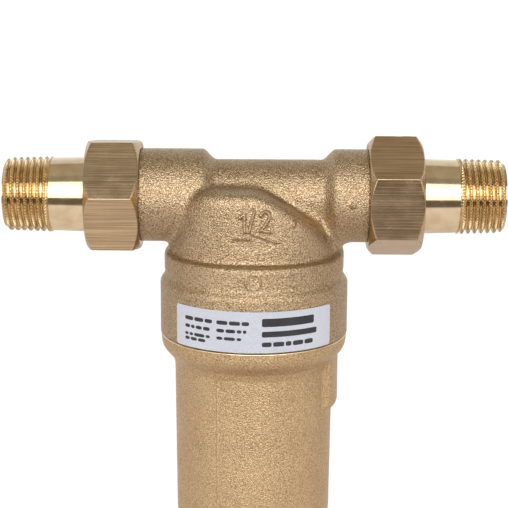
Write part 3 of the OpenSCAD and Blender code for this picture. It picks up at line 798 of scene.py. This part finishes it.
def build_lever():
    """Moulded lever: rounded rim, sunk panel along the arm and a rib down its middle."""
    edge, spine = lever_outline(64)
    thick = lever_hi[1] - lever_lo[1]
    round_r = LEVER_ROUND_R
    quarter = np.linspace(0, PI / 2, 7)
    inner = edge - (edge - spine) * (round_r / np.linalg.norm(edge - spine, axis=1))[:, None]
    rings = [(inner + (spine - inner) * f, thick) for f in np.linspace(1, 0, TOP_RINGS)]
    rings += [(inner + (edge - inner) * math.sin(a), thick - round_r * (1 - math.cos(a)))
              for a in quarter[1:]]
    rings += [(inner + (edge - inner) * math.cos(a), round_r * (1 - math.sin(a))) for a in quarter]
    rings += [(inner + (spine - inner) * f, 0.0) for f in np.linspace(0.1, 1, 10)]
    verts = []
    for k, (flat, height) in enumerate(rings):
        height = np.full(len(flat), height)
        if k < TOP_RINGS:
            arm = np.abs(flat[:, 1]) - (3.9 - 0.055 * flat[:, 0])
            pocket = np.maximum(np.maximum(arm, POCKET_FROM - flat[:, 0]), flat[:, 0] - POCKET_TO)
            rib = smooth_step(np.abs(flat[:, 1]), 1.0, 0.5) * 0.7
            height = height - POCKET_DEPTH * smooth_step(pocket, 0.3, -0.5) * (1 - rib)
        verts.append(np.stack([flat[:, 0], -height, flat[:, 1]], -1))
    verts = np.stack(verts, 1).reshape(-1, 3)
    verts = verts + [lever_lo[0] + LEVER_HUB_R - AXIS_X, lever_hi[1], BALL_Z]
    closed_piece("drain_lever", verts, len(edge), "drain_lever", "lever_plastic", LEVER_PLASTIC,
                 crease=50, replaces=["drain_handle"])


# ---- Rating plate: curved sheet with rounded corners and plain printed bars ----

label_lo, label_hi = box_mm("label")
LABEL_R = RING_R + 0.16
LABEL_HALF = math.radians(52)
LABEL_CORNER, LABEL_THICK, PRINT_RAISE, PRINT_CORNER = 0.7, 0.13, 0.02, 0.18
WORD_GAP, SHORTEST_WORD, LONGEST_WORD = 0.45, 1.1, 3.4


def curved_patch(arc0, arc1, z0, z1, r, cols, rows, corner=0.0):
    """Sheet on the front of the ring between two distances along its arc, with rounded corners."""
    u = np.linspace(-1, 1, cols)
    v = np.linspace(-1, 1, rows)
    u, v = np.meshgrid(u, v)
    half_u, half_v = (arc1 - arc0) / 2, (z1 - z0) / 2
    s, t = u * half_u, v * half_v
    over_u = np.maximum(np.abs(s) - (half_u - corner), 0)
    reach = half_v - corner + np.sqrt(np.maximum(corner ** 2 - over_u ** 2, 0))
    t = v * reach if corner else t
    s, t = s + (arc0 + arc1) / 2, t + (z0 + z1) / 2
    angle = s / LABEL_R - PI / 2
    return np.stack([r * np.cos(angle), r * np.sin(angle), t], -1).reshape(-1, 3)


# lines of small print, then two solid bars: left, right, top and foot, along the arc and up
PRINT_LINES = [
    (-20.6, -11.0, -29.9, -31.0), (-20.6, -11.6, -32.2, -33.2), (-20.6, -12.2, -34.4, -35.3),
    (-20.6, -13.6, -35.7, -36.6), (-10.2, -1.0, -29.9, -31.0), (-10.2, -1.8, -32.2, -33.2),
    (-10.2, -2.4, -34.4, -35.3), (2.4, 17.5, -35.6, -36.9)]
PRINT_BARS = [(2.4, 17.8, -31.3, -29.0), (2.4, 18.8, -34.2, -32.6)]


def print_bars():
    """Bars in place of words: (left, right, foot, top)."""
    rng = np.random.default_rng(5)
    bars = []
    for left, right, top, foot in PRINT_LINES:
        while left < right - 0.8:
            stop = min(left + rng.uniform(SHORTEST_WORD, LONGEST_WORD), right)
            bars.append((left, stop, foot, top))
            left = stop + WORD_GAP
    return bars + PRINT_BARS


def build_label():
    """Rating plate and its print."""
    arc = LABEL_HALF * LABEL_R - 0.1
    cols, rows = 160, 10
    outer = curved_patch(-arc, arc, label_lo[2], label_hi[2], LABEL_R, cols, rows, LABEL_CORNER)
    shrink = 1 - LABEL_THICK / LABEL_R
    inner = outer * [shrink, shrink, 1]
    n = cols * rows
    front = open_grid(rows, cols)
    number = np.arange(n).reshape(rows, cols)
    rim = np.concatenate([number[0], number[1:, -1], number[-1, -2::-1], number[-2:0:-1, 0]])
    after = np.roll(rim, -1)
    edge = np.stack([rim, rim + n, after + n, after], -1)
    faces = np.concatenate([front, front[:, ::-1] + n, edge])
    obj = add_mesh("rating_plate_sheet", np.concatenate([outer, inner]), faces, "housing_unit",
                   "rating_plate", [PLATE], replaces=["label"])
    sharpen(obj, 40)
    verts, quads, first = [], [], 0
    for left, right, foot, top in print_bars():
        cols = max(3, int((right - left) / 0.4))
        patch = curved_patch(left, right, foot, top, LABEL_R + PRINT_RAISE, cols, 4, PRINT_CORNER)
        verts.append(patch)
        quads.append(open_grid(4, cols) + first)
        first += len(patch)
    add_mesh("rating_plate_print", np.concatenate(verts), np.concatenate(quads), "housing_unit",
             "rating_plate", [INK])


# ---- Materials: all procedural, in object coordinates (metres) ----


class Nodes:
    """Node tree of a new material or of the world, built one node at a time."""

    def __init__(self, name, place="Object", store=bpy.data.materials):
        self.owner = store.new(name)
        self.owner.use_nodes = True
        self.tree = self.owner.node_tree
        self.tree.nodes.clear()
        self.place = self.add("ShaderNodeTexCoord").outputs[place]

    def add(self, kind, inputs=(), **settings):
        node = self.tree.nodes.new(kind)
        for key, value in settings.items():
            setattr(node, key, value)
        for socket, value in dict(inputs).items():
            if isinstance(value, bpy.types.NodeSocket):
                self.tree.links.new(value, node.inputs[socket])
            else:
                node.inputs[socket].default_value = value
        return node

    def stretched(self, x, y, z):
        scale = self.add("ShaderNodeVectorMath", {0: self.place, 1: (x, y, z)}, operation="MULTIPLY")
        return scale.outputs[0]

    def noise(self, scale, detail=2.0, place=None, roughness=0.5):
        where = self.place if place is None else place
        node = self.add("ShaderNodeTexNoise",
                        {"Vector": where, "Scale": scale, "Detail": detail, "Roughness": roughness})
        return node.outputs["Fac"]

    def math(self, how, a, b=0.0):
        return self.add("ShaderNodeMath", {0: a, 1: b}, operation=how).outputs[0]

    def remap(self, value, a, b, to_a, to_b):
        sockets = {"Value": value, "From Min": a, "From Max": b, "To Min": to_a, "To Max": to_b}
        return self.add("ShaderNodeMapRange", sockets).outputs["Result"]

    def mix(self, share, a, b):
        return self.add("ShaderNodeMix", {0: share, 6: a, 7: b}, data_type="RGBA").outputs[2]

    def bump(self, height, strength, distance, normal=None):
        sockets = {"Height": height, "Strength": strength, "Distance": distance}
        if normal is not None:
            sockets["Normal"] = normal
        return self.add("ShaderNodeBump", sockets).outputs["Normal"]

    def tone(self, value, a, b, dark, light):
        """Colour from dark to light as value goes from a to b."""
        return self.mix(self.remap(value, a, b, 0.0, 1.0), (*dark, 1.0), (*light, 1.0))

    def blend(self, a, b, share):
        first = self.math("MULTIPLY", a, share)
        return self.math("ADD", first, self.math("MULTIPLY", b, 1 - share))

    def finish(self, color, metallic, roughness, normal):
        inputs = {"Base Color": color, "Metallic": metallic, "Roughness": roughness, "Normal": normal}
        shader = self.add("ShaderNodeBsdfPrincipled", inputs)
        return self.output(shader)

    def output(self, shader, kind="ShaderNodeOutputMaterial"):
        self.add(kind, {0: shader.outputs[0]})
        return self.owner


def cast_brass(name, dark, light, fineness, relief):
    """Bead-blasted casting: matt, grainy and a little blotchy."""
    n = Nodes(name)
    grain = n.noise(fineness, 1.5, roughness=0.5)
    coarse = n.noise(fineness * 0.4, 2.0)
    blotch = n.noise(110, 3.0)
    color = n.tone(n.blend(blotch, grain, 0.12), 0.36, 0.64, dark, light)
    rough = n.remap(coarse, 0.3, 0.7, 0.31, 0.41)
    normal = n.bump(coarse, 0.6, 0.00011 * relief)
    normal = n.bump(grain, 1.0, 0.00018 * relief, normal)
    return n.finish(color, 0.93, rough, normal)


def turned_brass(name, dark, light):
    """Machined brass: fine turning marks round the part and slight tarnish."""
    n = Nodes(name)
    marks = n.noise(1.0, 2.0, n.stretched(5200, 260, 260))
    stain = n.noise(260, 3.0)
    color = n.tone(stain, 0.35, 0.65, dark, light)
    rough = n.remap(n.noise(900, 2.0), 0.3, 0.7, 0.07, 0.14)
    return n.finish(color, 1.0, rough, n.bump(marks, 0.10, 0.00002))


def forged_brass():
    """Hot-forged and tumbled brass of the valve: satin, slightly uneven."""
    n = Nodes("forged brass")
    skin = n.noise(1500, 3.0)
    broad = n.noise(240, 3.0)
    color = n.tone(n.blend(skin, broad, 0.5), 0.38, 0.62, (0.52, 0.39, 0.23), (0.70, 0.55, 0.35))
    rough = n.remap(skin, 0.3, 0.7, 0.27, 0.37)
    normal = n.bump(broad, 0.4, 0.00012)
    return n.finish(color, 0.97, rough, n.bump(skin, 0.6, 0.00006, normal))


def drawn_brass():
    """Drawn hexagon bar: streaks along the pipe, small dents and dull patches."""
    n = Nodes("drawn brass")
    streaks = n.noise(1.0, 3.0, n.stretched(40, 3000, 3000))
    fine = n.noise(1.0, 2.0, n.stretched(180, 4200, 4200))
    patches = n.noise(170, 4.0)
    tone = n.blend(streaks, patches, 0.9)
    color = n.tone(tone, 0.38, 0.62, (0.42, 0.30, 0.18), (0.66, 0.50, 0.32))
    rough = n.remap(patches, 0.3, 0.7, 0.20, 0.29)
    pits = n.remap(n.noise(700, 2.0), 0.26, 0.34, 0.0, 1.0)
    normal = n.bump(streaks, 0.35, 0.00008)
    normal = n.bump(fine, 0.15, 0.00003, normal)
    normal = n.bump(pits, 0.20, 0.00005, normal)
    return n.finish(color, 1.0, rough, normal)


def chromed_steel():
    """Bright plated ball, faintly hazed."""
    n = Nodes("chromed steel")
    haze = n.noise(600, 3.0)
    color = n.tone(haze, 0.3, 0.7, (0.56, 0.57, 0.58), (0.66, 0.67, 0.68))
    return n.finish(color, 1.0, n.remap(haze, 0.3, 0.7, 0.10, 0.22),
                    n.bump(n.noise(3000, 2.0), 0.08, 0.00002))


def matt(name, dark, light, roughness, grain=1400, relief=0.25, metallic=0.0):
    """Rubber, fibre and moulded plastic: fine grain and uneven tone."""
    n = Nodes(name)
    fine = n.noise(grain, 3.0)
    broad = n.noise(160, 3.0)
    color = n.tone(n.blend(fine, broad, 0.4), 0.35, 0.65, dark, light)
    rough = n.remap(fine, 0.3, 0.7, roughness - 0.06, roughness + 0.08)
    return n.finish(color, metallic, rough, n.bump(fine, relief, 0.00004))


WARP_WIRES, WEFT_PITCH = 240, 0.42


def woven_cloth():
    """Steel wire cloth: woven wires as relief and tone, with painted shade in the gaps between them."""
    n = Nodes("steel cloth")
    split = n.add("ShaderNodeSeparateXYZ", {0: n.place})
    x = n.math("SUBTRACT", split.outputs[0], AXIS_X * MM)
    turn = n.math("ARCTAN2", split.outputs[1], x)
    warp = n.math("ABSOLUTE", n.math("SINE", n.math("MULTIPLY", turn, WARP_WIRES / 2)))
    height = n.math("MULTIPLY", split.outputs[2], PI / (WEFT_PITCH * MM))
    weft = n.math("ABSOLUTE", n.math("SINE", height))
    wires = n.math("MAXIMUM", warp, weft)
    # painted shade: the gaps between the wires are coloured near-black for the dark seen through the
    # holes
    color = n.tone(wires, 0.5, 0.95, (0.08, 0.08, 0.08), (0.55, 0.56, 0.57))
    return n.finish(color, 0.9, 0.35, n.bump(wires, 0.6, 0.00008))


def plate_silver():
    """Metallised label film: satin, very slightly rippled."""
    n = Nodes("plate film")
    ripple = n.noise(1.0, 3.0, n.stretched(60, 60, 500))
    speck = n.noise(3000, 2.0)
    color = n.tone(speck, 0.3, 0.7, (0.60, 0.64, 0.74), (0.70, 0.74, 0.84))
    return n.finish(color, 0.55, n.remap(speck, 0.3, 0.7, 0.34, 0.44),
                    n.bump(ripple, 0.08, 0.0001))


CAST = cast_brass("cast brass", (0.26, 0.18, 0.10), (0.62, 0.465, 0.295), 2700, 1.6)
BOWL_CAST = cast_brass("bowl cast brass", (0.38, 0.255, 0.13), (0.74, 0.55, 0.325), 3100, 1.1)
TURNED = turned_brass("turned brass", (0.72, 0.57, 0.37), (0.84, 0.70, 0.49))
THREAD = turned_brass("thread brass", (0.53, 0.385, 0.20), (0.70, 0.53, 0.305))
FORGED = forged_brass()
DRAWN = drawn_brass()
PLATE = plate_silver()
INK = matt("printing ink", (0.012, 0.012, 0.016), (0.03, 0.03, 0.036), 0.5)
RUBBER = matt("black rubber", (0.012, 0.012, 0.013), (0.03, 0.03, 0.032), 0.55)
FIBRE = matt("gasket fibre", (0.02, 0.021, 0.022), (0.06, 0.06, 0.06), 0.7, 900, 0.5)
WHITE_PLASTIC = matt("white plastic", (0.66, 0.65, 0.60), (0.76, 0.75, 0.71), 0.38, 1000, 0.15)
SEAT_PLASTIC = matt("seat plastic", (0.72, 0.72, 0.70), (0.82, 0.82, 0.80), 0.42, 1200, 0.15)
LEVER_PLASTIC = matt("lever plastic", (0.014, 0.015, 0.017), (0.03, 0.031, 0.035), 0.42, 2200, 0.45)
STEEL = chromed_steel()
SCREW_STEEL = matt("screw steel", (0.35, 0.35, 0.36), (0.5, 0.5, 0.51), 0.3, 1500, 0.2, 1.0)
CLOTH = woven_cloth()

# finish and edge rounding (millimetres) of the CAD pieces that are shown as they are
CAD_FINISH = [
    (FIBRE, 0.12, ["inlet_gasket", "outlet_gasket"]),
    (RUBBER, 0.25, ["sieve_seal"]),
    (WHITE_PLASTIC, 0.3, ["sieve_top_collar", "sieve_bottom_cap"]),
    (WHITE_PLASTIC, 0.15, ["sieve_support_cage"]),
    (CLOTH, 0.0, ["sieve_mesh"]),
    (RUBBER, 0.0, ["bowl_seal"]),
    (SEAT_PLASTIC, 0.2, ["drain_body_seal", "hose_tail_seal"]),
    (SEAT_PLASTIC, 0.15, ["drain_seat_upper", "drain_seat_lower"]),
    (SEAT_PLASTIC, 0.1, ["drain_stem_packing"]),
    (DRAWN, 0.15, ["drain_packing_nut"]),
    (STEEL, 0.1, ["drain_ball"]),
    (TURNED, 0.1, ["drain_stem"]),
    (SCREW_STEEL, 0.15, ["drain_handle_screw"]),
]
BEVEL_FROM = math.radians(35)


def finish_cad_pieces():
    """Gives each CAD piece that is shown its material and rounded edges."""
    for material, edge, name in [(m, e, name) for m, e, names in CAD_FINISH for name in names]:
        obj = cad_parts[name]
        obj.data.materials.clear()
        obj.data.materials.append(material)
        if edge:
            bevel = obj.modifiers.new("rounded edges", "BEVEL")
            bevel.width = edge * MM
            bevel.segments = 3
            bevel.limit_method = "ANGLE"
            bevel.angle_limit = BEVEL_FROM
            bevel.harden_normals = True


# ---- Floor, light and camera ----

# light seen in a reflection, by its angle up from the horizontal in front and on over the top
SKY = [
    (-180, 0.95, "white"), (-120, 0.90, "white"), (-95, 0.85, "pink"),
    (-27, 0.85, "pink"), (-23, 0.16, "warm"),
    (-3, 0.16, "warm"), (0, 2.1, "white"), (47, 2.1, "white"), (50, 0.34, "cream"), (66, 0.34, "cream"),
    (72, 0.46, "warm"), (84, 0.44, "warm"), (88, 0.42, "warm"), (118, 0.42, "warm"),
    (124, 0.75, "white"), (150, 0.90, "white"), (180, 0.95, "white")]
TINTS = {"white": (1.0, 0.99, 0.97), "cream": (1.0, 0.93, 0.80), "pink": (1.0, 0.92, 0.93),
         "warm": (1.0, 0.86, 0.66)}
SKY_TOP, SIDE_LIGHT = 2.5, 0.95


def build_world():
    """Studio light for reflections; the camera sees plain white."""
    n = Nodes("studio", "Generated", bpy.data.worlds)
    bpy.context.scene.world = n.owner
    split = n.add("ShaderNodeSeparateXYZ", {0: n.place})
    back = n.math("MULTIPLY", split.outputs[1], -1.0)
    angle = n.math("ARCTAN2", split.outputs[2], back)
    ramp = n.add("ShaderNodeValToRGB", {0: n.math("ADD", n.math("DIVIDE", angle, 2 * PI), 0.5)})
    stops = ramp.color_ramp.elements
    while len(stops) > 1:
        stops.remove(stops[-1])
    for i, (degrees, level, tint) in enumerate(SKY):
        place = (degrees + 180) / 360
        stop = stops[0] if i == 0 else stops.new(place)
        stop.position = place
        stop.color = tuple(level / SKY_TOP * c for c in TINTS[tint]) + (1,)
    side = n.remap(n.math("ABSOLUTE", split.outputs[0]), 0.3, 0.95, 1.0, SIDE_LIGHT)
    strength = n.math("MULTIPLY", side, SKY_TOP)
    shown = n.add("ShaderNodeLightPath").outputs["Is Camera Ray"]
    studio = n.add("ShaderNodeBackground", {"Color": ramp.outputs[0], "Strength": strength})
    white = n.add("ShaderNodeBackground", {"Color": (1, 1, 1, 1), "Strength": 1.0})
    mixed = n.add("ShaderNodeMixShader", {0: shown, 1: studio.outputs[0], 2: white.outputs[0]})
    n.output(mixed, "ShaderNodeOutputWorld")


FLOOR_Z = -175.0
FLOOR_FRONT, FLOOR_BACK, FLOOR_SIDE, FLOOR_LINES = -320.0, 6000.0, 3000.0, 41


def build_floor():
    """Pale sheet under and behind the filter, lit to white, and clear when seen from below."""
    n = Nodes("pale floor")
    fibre = n.noise(900, 3.0)
    color = n.tone(fibre, 0.3, 0.7, (0.88, 0.83, 0.83), (0.92, 0.87, 0.87))
    shown = n.add("ShaderNodeLightPath").outputs["Is Camera Ray"]
    diffuse = n.add("ShaderNodeBsdfDiffuse", {"Color": color})
    glow = n.add("ShaderNodeEmission", {"Color": (1, 1, 1, 1), "Strength": 1.08})
    share = n.math("MULTIPLY", shown, 0.88)
    mixed = n.add("ShaderNodeMixShader", {0: share, 1: diffuse.outputs[0], 2: glow.outputs[0]})
    below = n.add("ShaderNodeNewGeometry").outputs["Backfacing"]
    clear = n.add("ShaderNodeBsdfTransparent")
    sheet = n.add("ShaderNodeMixShader", {0: below, 1: mixed.outputs[0], 2: clear.outputs[0]})
    xs = np.linspace(-FLOOR_SIDE, FLOOR_SIDE, FLOOR_LINES)
    ys = np.linspace(FLOOR_FRONT, FLOOR_BACK, FLOOR_LINES)
    grid = np.stack(np.meshgrid(xs, ys, indexing="ij"), -1).reshape(-1, 2)
    verts = np.concatenate([grid, np.full((len(grid), 1), FLOOR_Z)], 1)
    mesh = bpy.data.meshes.new("pale_floor")
    placed = (verts + [AXIS_X, 0, 0]) * MM
    facing_up = open_grid(FLOOR_LINES, FLOOR_LINES)[:, ::-1]
    mesh.from_pydata(placed.tolist(), [], facing_up.tolist())
    mesh.materials.append(n.output(sheet))
    add_object("pale_floor", mesh)


KEY_PLACE, KEY_AIM = Vector((-60, -900, 400)), Vector((0, 0, -30))
KEY_SIZE, KEY_POWER = (1.0, 0.35), 3.0


def build_key_light():
    """Wide soft light above the camera."""
    light = bpy.data.lights.new("key", "AREA")
    light.shape = "RECTANGLE"
    light.size, light.size_y = KEY_SIZE
    light.energy = KEY_POWER
    obj = add_object("key", light)
    obj.location = (KEY_PLACE + Vector((AXIS_X, 0, 0))) * MM
    obj.rotation_euler = (KEY_AIM - KEY_PLACE).normalized().to_track_quat("-Z", "Y").to_euler()


CAMERA_DISTANCE, CAMERA_RISE, CAMERA_SWING, CAMERA_ROLL = 430.0, 10.25, 0.45, 0.28
CAMERA_AIM = Vector((-0.05, 0.0, -17.0))
FOCAL_TO_DISTANCE = 3.54
FRAME_PX, SENSOR = 508, 36.0


def build_camera():
    """Camera at the photograph's place, turned and rolled as it was."""
    rise, swing, roll = (math.radians(v) for v in (CAMERA_RISE, CAMERA_SWING, CAMERA_ROLL))
    place = CAMERA_DISTANCE * Vector((
        math.sin(swing) * math.cos(rise), -math.cos(swing) * math.cos(rise), math.sin(rise)))
    ahead = (CAMERA_AIM - place).normalized()
    level = ahead.cross(Vector((0, 0, 1))).normalized()
    upright = level.cross(ahead)
    right = level * math.cos(roll) + upright * math.sin(roll)
    up = upright * math.cos(roll) - level * math.sin(roll)
    camera = bpy.data.cameras.new("front camera")
    camera.sensor_width = SENSOR
    camera.lens = FOCAL_TO_DISTANCE * CAMERA_DISTANCE / FRAME_PX * SENSOR
    camera.clip_start, camera.clip_end = 0.01, 50
    obj = add_object("front camera", camera)
    matrix = np.eye(4)
    matrix[:3, :3] = np.array([right, up, -ahead]).T
    matrix[:3, 3] = (place + Vector((AXIS_X, 0, 0))) * MM
    obj.matrix_world = Matrix(matrix.tolist())
    bpy.context.scene.camera = obj
    bpy.context.scene.view_settings.view_transform = "Standard"


build_housing()
for side in ("inlet", "outlet"):
    build_union_end(side)
build_bowl()
build_valve()
build_hose_tail()
build_lever()
build_label()
finish_cad_pieces()
build_world()
build_floor()
build_key_light()
build_camera()
